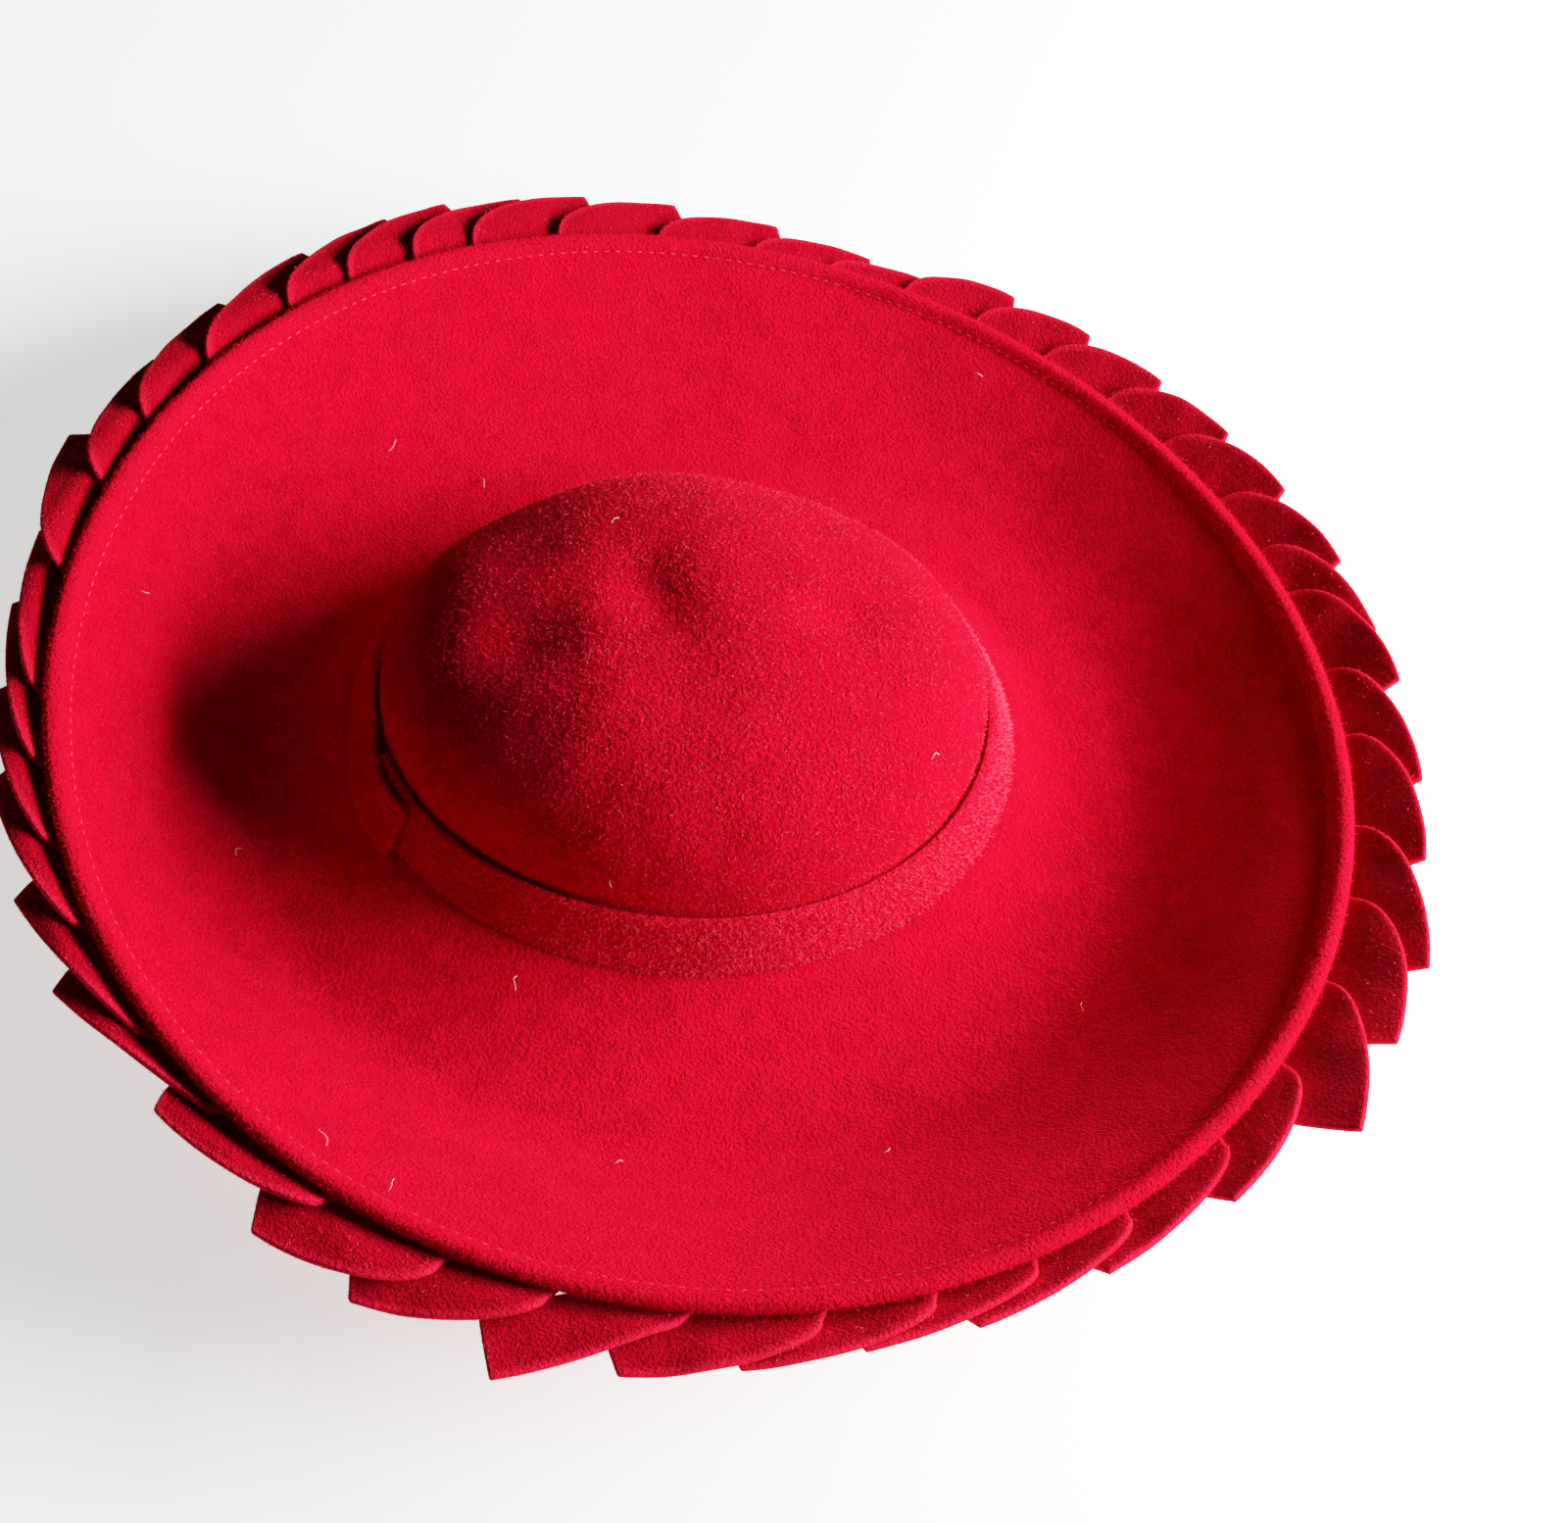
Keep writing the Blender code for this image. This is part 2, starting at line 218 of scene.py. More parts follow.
def loft(name, points, close_along, close_across, caps=False, cut=None):
    """A mesh over a grid of points, rolled shut where asked; cut carries the painted highlight
    along edges.
    """
    rows, columns = points.shape[:2]
    index = np.arange(rows * columns).reshape(rows, columns)
    if close_along:
        index = np.vstack((index, index[:1]))
    if close_across:
        index = np.hstack((index, index[:, :1]))
    corners = (index[:-1, :-1], index[1:, :-1], index[1:, 1:], index[:-1, 1:])
    faces = np.stack(corners, axis=-1).reshape(-1, 4).tolist()
    if caps:
        faces.append(list(range(columns)))
        faces.append(list(range((rows - 1) * columns, rows * columns)))
    mesh = bpy.data.meshes.new(name)
    mesh.from_pydata(points.reshape(-1, 3).tolist(), [], faces)
    if cut is not None:
        marks = mesh.attributes.new("painted_edge_highlight", "FLOAT", "POINT")
        marks.data.foreach_set("value", cut.ravel())
    bm = bmesh.new()
    bm.from_mesh(mesh)
    bmesh.ops.remove_doubles(bm, verts=bm.verts, dist=SAME_POINT)
    bmesh.ops.recalc_face_normals(bm, faces=bm.faces)
    for face in bm.faces:
        face.smooth = True
    bm.to_mesh(mesh)
    bm.free()
    return mesh_object(name, mesh)


def settle_modifiers(piece):
    """Turns the piece with its modifiers into one plain mesh."""
    graph = bpy.context.evaluated_depsgraph_get()
    made = bpy.data.meshes.new_from_object(piece.evaluated_get(graph))
    made.name = piece.name
    piece.modifiers.clear()
    piece.data = made
    for face in made.polygons:
        face.use_smooth = True
    return piece


def dress(piece, material, slot, *nodes):
    """Gives a finished piece its material and its body, and hides the CAD nodes it stands in for.
    """
    piece.data.materials.clear()
    piece.data.materials.append(material)
    if nodes:
        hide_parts(*nodes)
    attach(piece, "root")
    return piece


# Materials

# colour of the painted highlight along leaf edges, the hem roll and the band's top edge and end
EDGE_HIGHLIGHT = "#FF1838"
FELT_SHEEN = "#FF0C2C"
FIBRE_SHEEN = "#FF1838"
TONE_SIZE = 0.070
STREAK_SIZE = 0.024
FIBRE_TONE_SIZE = 0.004


def brushed_felt(name, shade, base, light, fleck, tuft, lump, relief, streak=0.0):
    """Fur felt, fulled and then brushed up into a short matt nap.

    The eye sees a soft surface with no gloss, fine lighter fibre ends,
    darker hollows between tufts, which are painted shade, and a soft red bloom at grazing angles.
    Tuft and lump are sizes and relief is a height, all in metres.
    Tufts are drawn 1 to 2 mm wide, as single fibre ends are too fine to show.
    """
    material = bpy.data.materials.new(name)
    material.use_nodes = True
    tree = material.node_tree
    shader = tree.nodes["Principled BSDF"]
    shader.inputs["Roughness"].default_value = 0.92
    shader.inputs["Specular IOR Level"].default_value = 0.03
    shader.inputs["Sheen Weight"].default_value = 0.45
    shader.inputs["Sheen Roughness"].default_value = 0.6
    shader.inputs["Sheen Tint"].default_value = linear(FELT_SHEEN)
    place = add_node(tree, "ShaderNodeTexCoord").outputs["Object"]

    def cloud(size, detail, rough, low, high):
        """Noise of that size, 0 below low and 1 above high."""
        source = add_node(
            tree, "ShaderNodeTexNoise", {},
            {"Scale": 1.0 / size, "Detail": detail, "Roughness": rough},
            {"Vector": place})
        spread = add_node(
            tree, "ShaderNodeMapRange", {"interpolation_type": "SMOOTHSTEP"},
            {"From Min": low, "From Max": high},
            {"Value": source.outputs["Fac"]})
        return spread.outputs["Result"]

    def blend(first, second, amount):
        node = add_node(tree, "ShaderNodeMix", {"data_type": "RGBA"})
        wanted = ((node.inputs[6], first), (node.inputs[7], second), (node.inputs[0], amount))
        for socket, value in wanted:
            if isinstance(value, (float, tuple)):
                socket.default_value = value
            else:
                tree.links.new(value, socket)
        return node.outputs[2]

    def scaled(value, factor):
        settings = {"operation": "MULTIPLY"}
        return add_node(tree, "ShaderNodeMath", settings, {1: factor}, {0: value}).outputs[0]

    tufts = cloud(tuft, detail=3.0, rough=0.6, low=0.34, high=0.66)
    lumps = cloud(lump, detail=4.0, rough=0.62, low=0.36, high=0.64)
    tones = cloud(TONE_SIZE, detail=2.0, rough=0.5, low=0.32, high=0.68)
    ends = cloud(tuft * 0.55, detail=1.0, rough=0.5, low=0.62, high=0.74)
    # painted shade: the hollows of the tufts, low in the fine bump below, take the darker shade
    # colour; this also gives the grain
    colour = blend(linear(shade), linear(base), tufts)
    colour = blend(colour, linear(light), scaled(lumps, 0.45))
    colour = blend(colour, linear(base), scaled(tones, 0.35))
    if streak > 0.0:
        bands = cloud(STREAK_SIZE, detail=3.0, rough=0.6, low=0.46, high=0.70)
        colour = blend(colour, linear(shade), scaled(bands, streak))
    colour = blend(colour, linear(fleck), scaled(ends, 0.45))
    # painted highlight: edges and the hem roll are blended towards a paler felt colour, where
    # they catch the light
    cut = add_node(tree, "ShaderNodeAttribute", {"attribute_name": "painted_edge_highlight"}).outputs["Fac"]
    colour = blend(colour, linear(EDGE_HIGHLIGHT), cut)
    tree.links.new(colour, shader.inputs["Base Color"])
    coarse = add_node(
        tree, "ShaderNodeBump", {}, {"Strength": 0.6, "Distance": relief * 1.5},
        {"Height": lumps})
    fine = add_node(
        tree, "ShaderNodeBump", {}, {"Strength": 0.9, "Distance": relief * 2.8},
        {"Height": tufts, "Normal": coarse.outputs["Normal"]})
    tree.links.new(fine.outputs["Normal"], shader.inputs["Normal"])
    return material


def plain_fibre(name, dark, light):
    """Dyed fur or thread: matt, in two tones that change along it."""
    material = bpy.data.materials.new(name)
    material.use_nodes = True
    tree = material.node_tree
    shader = tree.nodes["Principled BSDF"]
    shader.inputs["Roughness"].default_value = 0.85
    shader.inputs["Specular IOR Level"].default_value = 0.03
    shader.inputs["Sheen Weight"].default_value = 0.1
    shader.inputs["Sheen Tint"].default_value = linear(FIBRE_SHEEN)
    place = add_node(tree, "ShaderNodeTexCoord").outputs["Object"]
    tone = add_node(
        tree, "ShaderNodeTexNoise", {}, {"Scale": 1.0 / FIBRE_TONE_SIZE, "Detail": 1.0},
        {"Vector": place})
    mix = add_node(
        tree, "ShaderNodeMix", {"data_type": "RGBA"}, {6: linear(dark), 7: linear(light)},
        {0: tone.outputs["Fac"]})
    tree.links.new(mix.outputs[2], shader.inputs["Base Color"])
    return material


BODY_FELT = brushed_felt(
    "fur_felt_brushed", shade="#94000F", base="#CE001A", light="#E4042A", fleck="#FF2040",
    tuft=0.0011, lump=0.009, relief=0.0003)
CROWN_FELT = brushed_felt(
    "fur_felt_crown", shade="#900012", base="#D4001C", light="#EC0028", fleck="#FF2844",
    tuft=0.0012, lump=0.009, relief=0.0005, streak=0.32)
# the band's felt is lighter and pinker than the body felt: partly its own colour, partly painted
# sheen
BAND_STRIP_FELT = brushed_felt(
    "fur_felt_band_nap_and_sheen", shade="#C4001C", base="#EC042A", light="#FF1440", fleck="#FF4460",
    tuft=0.0017, lump=0.006, relief=0.0007)
# painted shade: the leaves take the body felt's colours made darker, as if lying in shadow
SHADED_LEAF_FELT = brushed_felt(
    "fur_felt_leaf_painted_shade", shade="#7A000E", base="#A80016", light="#C0001C", fleck="#F41434",
    tuft=0.0010, lump=0.012, relief=0.0004)
NAP_FIBRE = plain_fibre("dyed_fur_fibre", "#C80018", "#F40A2A")
SEWING_THREAD = plain_fibre("red_cotton_thread", "#D01C38", "#FF4C60")
PALE_FIBRE = plain_fibre("raised_fibre_ends", "#F81C3C", "#FF4C66")
LINT = plain_fibre("pale_lint", "#F08890", "#FFC8C0")


# Nap, stitches and hairs

# real fur fibres are about 0.02 mm thick: these are drawn coarser, so that they show
# columns: fibres, length, radius, how far they lean, seed
NAPS = {
    "brim_nap_1": (44000, 0.0012, 0.00007, 1.38, 20),
    "brim_nap_2": (44000, 0.0012, 0.00007, 1.38, 21),
    "brim_nap_3": (44000, 0.0012, 0.00007, 1.38, 22),
    "brim_pale_nap": (20000, 0.0014, 0.00011, 1.15, 27),
    "hem_nap": (24000, 0.0011, 0.00007, 1.0, 31),
    "crown_nap": (44000, 0.0012, 0.00008, 1.3, 41),
    "crown_pale_nap": (14000, 0.0013, 0.00008, 1.2, 47),
    "band_nap": (24000, 0.0014, 0.00009, 1.0, 51),
    "band_pale_nap": (14000, 0.0016, 0.00011, 0.9, 57),
    "leaf_nap_1": (34000, 0.0007, 0.00007, 1.4, 61),
    "leaf_nap_2": (34000, 0.0007, 0.00007, 1.4, 62),
    "leaf_nap_3": (34000, 0.0007, 0.00007, 1.4, 63),
    "leaf_pale_nap": (6000, 0.0010, 0.0001, 1.3, 67),
}
NAP_PATCH = 0.028


def new_flow(name, inputs):
    """An empty Geometry Nodes tree with named inputs and one geometry out."""
    tree = bpy.data.node_groups.new(name, "GeometryNodeTree")
    tree.interface.new_socket("Shape", in_out="INPUT", socket_type="NodeSocketGeometry")
    tree.interface.new_socket("Result", in_out="OUTPUT", socket_type="NodeSocketGeometry")
    for label, kind, value in inputs:
        socket = tree.interface.new_socket(label, in_out="INPUT", socket_type=kind)
        socket.default_value = value
    return tree


def end_flow(tree, geometry, material):
    """Makes the instances real, gives them their material and sends them out."""
    real = add_node(tree, "GeometryNodeRealizeInstances", {}, {}, {"Geometry": geometry})
    dyed = add_node(
        tree, "GeometryNodeSetMaterial", {}, {"Material": material},
        {"Geometry": real.outputs[0]})
    add_node(tree, "NodeGroupOutput", {}, {}, {"Result": dyed.outputs[0]})
    return tree


def run_flow(piece, tree, values):
    """Runs a tree on the piece with its named inputs set, as a plain mesh."""
    flow = piece.modifiers.new(tree.name, "NODES")
    flow.node_group = tree
    for item in tree.interface.items_tree:
        if item.name in values:
            flow[item.identifier] = values[item.name]
    return settle_modifiers(piece)


def make_nap_flow():
    """Scatters leaning three-sided fibres, thicker in some patches."""
    tree = new_flow("brushed_nap", (
        ("Density", "NodeSocketFloat", 1.0), ("Length", "NodeSocketFloat", 0.001),
        ("Radius", "NodeSocketFloat", 0.0001), ("Lean", "NodeSocketFloat", 1.0),
        ("Seed", "NodeSocketInt", 1)))
    source = add_node(tree, "NodeGroupInput").outputs
    patches = add_node(
        tree, "ShaderNodeTexNoise", {}, {"Scale": 1.0 / NAP_PATCH, "Detail": 3.0})
    thick = add_node(
        tree, "ShaderNodeMapRange", {},
        {"From Min": 0.3, "From Max": 0.7, "To Min": 0.35, "To Max": 1.65},
        {"Value": patches.outputs["Fac"]})
    density = add_node(
        tree, "ShaderNodeMath", {"operation": "MULTIPLY"}, {},
        {0: source["Density"], 1: thick.outputs["Result"]})
    scatter = add_node(
        tree, "GeometryNodeDistributePointsOnFaces", {}, {},
        {"Mesh": source["Shape"], "Density": density.outputs[0], "Seed": source["Seed"]})
    fibre = add_node(
        tree, "GeometryNodeMeshCone", {}, {"Vertices": 3},
        {"Radius Bottom": source["Radius"], "Depth": source["Length"]})
    swing = add_node(
        tree, "FunctionNodeRandomValue", {"data_type": "FLOAT_VECTOR"},
        {0: (-1.0, -1.0, 0.0), 1: (1.0, 1.0, 3.0)}, {"Seed": source["Seed"]})
    leaning = add_node(
        tree, "ShaderNodeVectorMath", {"operation": "SCALE"}, {},
        {0: swing.outputs[0], "Scale": source["Lean"]})
    turned = add_node(
        tree, "FunctionNodeRotateRotation", {"rotation_space": "LOCAL"}, {},
        {0: scatter.outputs["Rotation"], 1: leaning.outputs[0]})
    size = add_node(
        tree, "FunctionNodeRandomValue", {"data_type": "FLOAT"}, {2: 0.5, 3: 1.5},
        {"Seed": source["Seed"]})
    grown = add_node(
        tree, "GeometryNodeInstanceOnPoints", {}, {},
        {"Points": scatter.outputs["Points"], "Instance": fibre.outputs["Mesh"],
         "Rotation": turned.outputs[0], "Scale": size.outputs[1]})
    return end_flow(tree, grown.outputs[0], NAP_FIBRE)


def make_stitch_flow():
    """Short soft bars of thread spaced along a line of edges."""
    tree = new_flow("running_stitch", (
        ("Spacing", "NodeSocketFloat", 0.0045), ("Half Length", "NodeSocketFloat", 0.0012),
        ("Radius", "NodeSocketFloat", 0.0002), ("Seed", "NodeSocketInt", 1)))
    source = add_node(tree, "NodeGroupInput").outputs
    line = add_node(tree, "GeometryNodeMeshToCurve", {}, {}, {"Mesh": source["Shape"]})
    spaced = add_node(
        tree, "GeometryNodeResampleCurve", {"mode": "LENGTH"}, {},
        {"Curve": line.outputs[0], "Length": source["Spacing"]})
    along = add_node(tree, "GeometryNodeInputTangent")
    wander = add_node(
        tree, "FunctionNodeRandomValue", {"data_type": "FLOAT_VECTOR"},
        {0: (-0.12, -0.12, -0.04), 1: (0.12, 0.12, 0.04)}, {"Seed": source["Seed"]})
    heading = add_node(
        tree, "ShaderNodeVectorMath", {"operation": "ADD"}, {},
        {0: along.outputs[0], 1: wander.outputs[0]})
    turned = add_node(
        tree, "FunctionNodeAlignRotationToVector", {"axis": "Z"}, {},
        {"Vector": heading.outputs[0]})
    bar = add_node(
        tree, "GeometryNodeMeshUVSphere", {}, {"Segments": 6, "Rings": 4, "Radius": 1.0})
    drawn = add_node(
        tree, "ShaderNodeCombineXYZ", {}, {},
        {"X": source["Radius"], "Y": source["Radius"], "Z": source["Half Length"]})
    placed = add_node(
        tree, "GeometryNodeInstanceOnPoints", {}, {},
        {"Points": spaced.outputs[0], "Instance": bar.outputs["Mesh"],
         "Rotation": turned.outputs[0], "Scale": drawn.outputs[0]})
    return end_flow(tree, placed.outputs[0], SEWING_THREAD)


def make_hair_flow():
    """Turns lines of edges into thin round hairs."""
    tree = new_flow("loose_hair", (("Radius", "NodeSocketFloat", 0.0001),))
    source = add_node(tree, "NodeGroupInput").outputs
    line = add_node(tree, "GeometryNodeMeshToCurve", {}, {}, {"Mesh": source["Shape"]})
    round_cut = add_node(
        tree, "GeometryNodeCurvePrimitiveCircle", {}, {"Resolution": 5},
        {"Radius": source["Radius"]})
    hair = add_node(
        tree, "GeometryNodeCurveToMesh", {}, {"Fill Caps": True},
        {"Curve": line.outputs[0], "Profile Curve": round_cut.outputs[0]})
    return end_flow(tree, hair.outputs[0], LINT)


NAP_FLOW = make_nap_flow()
STITCH_FLOW = make_stitch_flow()
HAIR_FLOW = make_hair_flow()


def line_object(name, lines, closed):
    """Rows of points joined by edges."""
    points = []
    edges = []
    for line in lines:
        first = len(points)
        points += [tuple(point) for point in line]
        edges += [(index, index + 1) for index in range(first, len(points) - 1)]
        if closed:
            edges.append((len(points) - 1, first))
    mesh = bpy.data.meshes.new(name)
    mesh.from_pydata(points, edges, [])
    return mesh_object(name, mesh)


def nap(name, surface, slot):
    """Brushed fibres over a surface, as a piece of its own."""
    count, length, radius, lean, seed = NAPS[name]
    area = sum(face.area for face in surface.data.polygons)
    piece = mesh_object(name, surface.data.copy())
    run_flow(piece, NAP_FLOW, {
        "Density": count / area, "Length": length, "Radius": radius, "Lean": lean,
        "Seed": seed})
    return dress(piece, PALE_FIBRE if "pale" in name else NAP_FIBRE, slot)


# Brim

def head_edge(turn):
    """Edge of the brim's head opening, in the middle of the felt."""
    half_x = BAND_TOP_X + BAND_SPREAD - OPENING_IN
    half_y = BAND_TOP_Y + BAND_SPREAD - OPENING_IN
    return stack(half_x * np.cos(turn), half_y * np.sin(turn), HEAD_RISE + FELT / 2)


def rim_edge(turn):
    """The brim's outer edge, with its tilt and waves."""
    height = RIM_HEIGHT + RIM_TILT_X * np.cos(turn) + RIM_TILT_Y * np.sin(turn)
    height = height + RIM_WAVE_COS * np.cos(2 * turn) + RIM_WAVE_SIN * np.sin(2 * turn)
    x = RIM_AT_X + RIM_X * np.cos(turn)
    y = RIM_AT_Y + RIM_Y * np.sin(turn)
    y = y + RIM_SKEW * np.cos(turn) + RIM_BOW * np.cos(2 * turn)
    return stack(x, y, height)


def brim_span(turn):
    """Way from the head opening to the rim, seen from above."""
    apart = rim_edge(turn)[..., :2] - head_edge(turn)[..., :2]
    return np.linalg.norm(apart, axis=-1)


def brim_foot(turn):
    """Runs at which the ring that the hat rests on starts and ends."""
    middle = brim_span(turn) * (FOOT_SHARE - FOOT_SHARE_FRONT * np.sin(turn))
    return middle - FOOT_RUN / 2, middle + FOOT_RUN / 2


def climb(run):
    """Height gained past the foot where the steepest slope is 1."""
    share = np.clip(run / BEND_RUN, 0.0, 1.0)
    bend = BEND_RUN * (share ** 3 - share ** 4 / 2)
    return bend + np.maximum(0.0, run - BEND_RUN)


def brim_middle(turn, run):
    """Point of the brim's middle surface, its outward and up directions."""
    start = head_edge(turn)
    end = rim_edge(turn)
    span = brim_span(turn)
    foot_start, foot_end = brim_foot(turn)
    out = (end[..., :2] - start[..., :2]) / span[..., None]
    fall_run = foot_start - SEAT_RUN
    left = 1.0 - np.clip((run - SEAT_RUN) / fall_run, 0.0, 1.0)
    steepest = (end[..., 2] - FELT / 2) / climb(span - foot_end)
    falling = HEAD_RISE * FALL_POWER / fall_run * left ** (FALL_POWER - 1.0)
    steepness = steepest * ease((run - foot_end) / BEND_RUN) - falling * (run > SEAT_RUN)
    x = start[..., 0] + out[..., 0] * run
    y = start[..., 1] + out[..., 1] * run
    z = FELT / 2 + HEAD_RISE * left ** FALL_POWER + steepest * climb(run - foot_end)
    point = stack(x, y, z)
    along = unit(stack(out[..., 0], out[..., 1], steepness))
    up = unit(np.array((0.0, 0.0, 1.0)) - along * along[..., 2:])
    return point, along, up


BRIM_STATIONS = 320
WIDE_ROWS = 34
HEM_ROWS = 12
ROLL_ROWS = 17
HEM_ROWS_RUN = 0.012
HEM_NAP_ROWS = 5

# the turned hem: a roll along the edge, then a shoulder down to the felt
ROLL = 0.0034
ROLL_TOP = 0.0028
SHOULDER_START = 2.4
SHOULDER_RUN = 1.4
GROOVE_DEPTH = 0.0002
GROOVE_WIDE = 0.0012
# painted highlight on the hem roll: rows before the roll where it starts, and how strong it is
HEM_HIGHLIGHT_ROWS = 4
HEM_HIGHLIGHT = 0.10
STITCH_IN = 0.0070
STITCH_PROUD = 0.00006
STITCHES = {"Spacing": 0.0042, "Half Length": 0.0011, "Radius": 0.00019, "Seed": 3}

# soft waves, calm near the crown and near the rim
BRIM_WAVES = ((0.0010, 0.075, 3), (0.0003, 0.028, 5))
WAVES_START = 0.010
WAVES_GROW = 0.03
WAVES_END = 0.004
WAVES_FADE = 0.02

# the upper side stays this high where a hollow would take it to the floor
LEAST_HEIGHT = 0.9 * FELT
LEAST_EASE = 0.0008

SWELL_START = 0.08
SWELL_FADE = 0.12

# soft hollows and swells left in the brim by blocking and handling
# columns: turn, share of the way out, half turn, half share, height
BRIM_SWELLS = (
    (40.0, 0.62, 34.0, 0.20, -0.0045),
    (314.0, 0.60, 26.0, 0.14, -0.0040),
    (252.0, 0.30, 26.0, 0.18, 0.0036),
)


def brim_swell(turn, share):
    """Height of the soft swells, fading out at the crown and at the rim."""
    height = np.zeros(np.broadcast(turn, share).shape)
    for at_turn, at_share, half_turn, half_share, high in BRIM_SWELLS:
        apart = (np.degrees(turn) - at_turn + 180.0) % 360.0 - 180.0
        near = -(apart / half_turn) ** 2 - ((share - at_share) / half_share) ** 2
        height += high * np.exp(near)
    return height * ease((share - SWELL_START) / SWELL_FADE) * ease((1.0 - share) / SWELL_FADE)


def brim_surface(turn, run, side):
    """Top (side 1) or underside (side -1) of the brim with its soft waves."""
    point, _, up = brim_middle(turn, run)
    inside = brim_span(turn) - run
    full = ROLL_TOP if side > 0 else HEM / 2
    shoulder = ease((SHOULDER_START * ROLL - inside) / (SHOULDER_RUN * ROLL))
    half = FELT / 2 + (full - FELT / 2) * shoulder
    groove = GROOVE_DEPTH * np.exp(-((inside - SHOULDER_START * ROLL) / GROOVE_WIDE) ** 2)
    free = ease((run - WAVES_START) / WAVES_GROW) * ease((inside - WAVES_END) / WAVES_FADE)
    lift = side * (half - groove) + soft_waves(point, BRIM_WAVES) * free
    point = point + up * lift[..., None]
    height = point[..., 2] + brim_swell(turn, run / brim_span(turn))
    if side > 0:
        above = height - LEAST_HEIGHT
        height = LEAST_HEIGHT + 0.5 * (above + np.sqrt(above ** 2 + LEAST_EASE ** 2))
    point[..., 2] = height
    return point


def hem_roll(turn, span):
    """The rounded edge of the hem, from its top to its underside."""
    angles = np.radians(np.linspace(90, -90, ROLL_ROWS))[None, 1:-1]
    centre, along, up = brim_middle(turn, span - ROLL)
    tall = np.where(np.sin(angles) > 0, ROLL_TOP, HEM / 2)
    outer = centre + along * (np.cos(angles) * ROLL)[..., None]
    return outer + up * (np.sin(angles) * tall)[..., None]


def make_brim():
    """The brim with its rolled hem, the nap on its upper side and the hem's stitches."""
    turn = np.linspace(0.0, 2 * pi, BRIM_STATIONS, endpoint=False)[:, None]
    span = brim_span(turn)
    seat = np.array((0.0, SEAT_RUN))[None, :] + 0 * turn
    share = np.linspace(0.0, 1.0, WIDE_ROWS)[None, 1:]
    wide = SEAT_RUN + (span - HEM_ROWS_RUN - SEAT_RUN) * share
    inside = np.linspace(HEM_ROWS_RUN, ROLL, HEM_ROWS)[None, 1:]
    runs = np.concatenate((seat, wide, span - inside), axis=1)
    wide_turn = turn + 0 * runs
    top = brim_surface(wide_turn, runs, 1.0)
    under = brim_surface(wide_turn, runs, -1.0)
    roll = hem_roll(turn, span)
    section = np.concatenate((top, roll, under[:, ::-1]), axis=1)
    section[..., 2] = np.maximum(section[..., 2], 0.0)
    # painted highlight: the hem roll is marked to take a paler felt colour
    pale = np.zeros(section.shape[:2])
    first_highlight = top.shape[1] - HEM_HIGHLIGHT_ROWS
    pale[:, first_highlight:first_highlight + roll.shape[1]] = HEM_HIGHLIGHT
    brim = loft("brim_felt", section + CROWN_AT, True, True, cut=pale)
    upper = loft("brim_upper", top + CROWN_AT, True, False)
    for name in ("brim_nap_1", "brim_nap_2", "brim_nap_3", "brim_pale_nap"):
        nap(name, upper, "body_felt")
    bpy.data.objects.remove(upper)
    hem_skin = np.concatenate((top[:, -HEM_NAP_ROWS:], roll), axis=1)
    edge = loft("brim_edge", hem_skin + CROWN_AT, True, False)
    nap("hem_nap", edge, "body_felt")
    bpy.data.objects.remove(edge)
    hem = brim_surface(turn[:, 0], span[:, 0] - STITCH_IN, 1.0)
    hem[:, 2] += STITCH_PROUD
    stitches = line_object("hem_stitches", [hem + CROWN_AT], True)
    run_flow(stitches, STITCH_FLOW, STITCHES)
    dress(stitches, SEWING_THREAD, "body_felt")
    return dress(brim, BODY_FELT, "body_felt", "brim")


# Crown

CROWN_STATIONS = 220
CROWN_ROWS = 90
CROWN_WAVES = ((0.0008, 0.040, 11), (0.0003, 0.016, 13))
# how much deeper the dents are than in the solid, where they fade, where they point
CRISP = 1.4
DENT_FADE = 0.15
DENT_AIM = 0.2


def band_line(turn, height, inset):
    """Outside of the band at a height, moved in by the inset."""
    low = (BAND_TOP - height) / (BAND_TOP - BAND_FOOT)
    spread = BAND_SPREAD * low - inset
    x = (BAND_TOP_X + spread) * np.cos(turn)
    y = (BAND_TOP_Y + spread) * np.sin(turn)
    return stack(x, y, height)


def crown_smooth(turn, share):
    """Outside of the crown before denting: 0 at the top, 1 at the foot."""
    low = np.clip((share - CROWN_FOOT_SHARE) / (1.0 - CROWN_FOOT_SHARE), 0.0, 1.0)
    skirt = band_line(turn, BAND_TOP + (BAND_FOOT - BAND_TOP) * low, BAND_TO_CROWN)
    bow = pi / 2 * (1.0 - np.clip(share / CROWN_FOOT_SHARE, 0.0, 1.0))
    rise = np.sin(bow) ** (2 / CROWN_TOP_POWER)
    width = np.maximum(0.0, np.cos(bow)) ** (2 / CROWN_SIDE_POWER)
    base = band_line(turn, BAND_TOP, BAND_TO_CROWN)
    x = base[..., 0] * width + CROWN_LEAN[0] * rise
    y = base[..., 1] * width + CROWN_LEAN[1] * rise
    dome = stack(x, y, BAND_TOP + (CROWN_TOP - BAND_TOP) * rise)
    return np.where((share > CROWN_FOOT_SHARE)[..., None], skirt, dome)


def dent_depth(point):
    """How far the dents press in at each point of the crown."""
    depth = np.zeros(point.shape[:-1])
    for x_share, y_share, half_long, half_wide, slant, deep in DENTS:
        x = point[..., 0] - x_share * BAND_TOP_X
        y = point[..., 1] - y_share * BAND_TOP_Y
        lean = radians(slant)
        long_way = (x * cos(lean) + y * sin(lean)) / (half_long * BAND_TOP_X)
        wide_way = (y * cos(lean) - x * sin(lean)) / (half_wide * BAND_TOP_X)
        depth += deep * DENT_DEPTH * np.exp(-long_way ** 2 - wide_way ** 2)
    return depth


